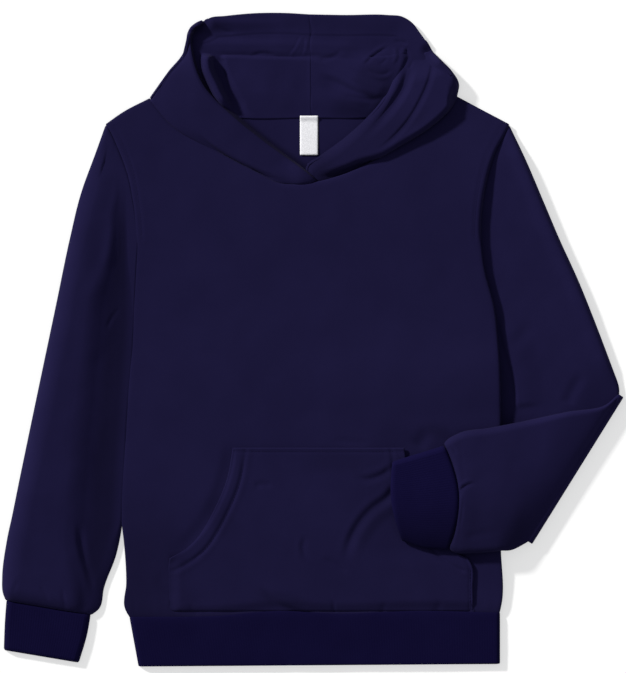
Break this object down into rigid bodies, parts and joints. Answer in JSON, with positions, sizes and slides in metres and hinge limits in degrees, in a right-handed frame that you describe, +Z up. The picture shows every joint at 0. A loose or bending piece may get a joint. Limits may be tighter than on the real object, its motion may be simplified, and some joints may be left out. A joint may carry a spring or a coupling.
{
  "type": "toddler hoodie",
  "caption": "Navy fleece pullover hoodie for a toddler, laid flat face up, with ribbed waistband and cuffs, a kangaroo pocket, and the left sleeve folded over the pocket",
  "frame": {"origin": "middle of the garment's outline, on the surface that it lies on", "axes": "+Z up from the surface, +Y from the hem to the hood, +X to the wearer's left (the viewer's right, looking down)"},
  "size_m": [0.5197, 0.5486, 0.0202],
  "materials": {
    "fleece": "brushed navy fleece knit, matt with a faint nap",
    "rib": "navy rib knit, matt, finely ridged",
    "tape": "white woven label, satin, blank"
  },
  "bodies": {
    "root": {"back_panel": "fleece", "front_panel": "fleece", "sleeve_right": "fleece", "sleeve_left": "fleece", "pocket": "fleece", "hood_right": "fleece", "hood_left": "fleece", "cuff_right": "rib", "cuff_left": "rib", "waistband": "rib", "neck_label": "tape"}
  },
  "joints": []
}
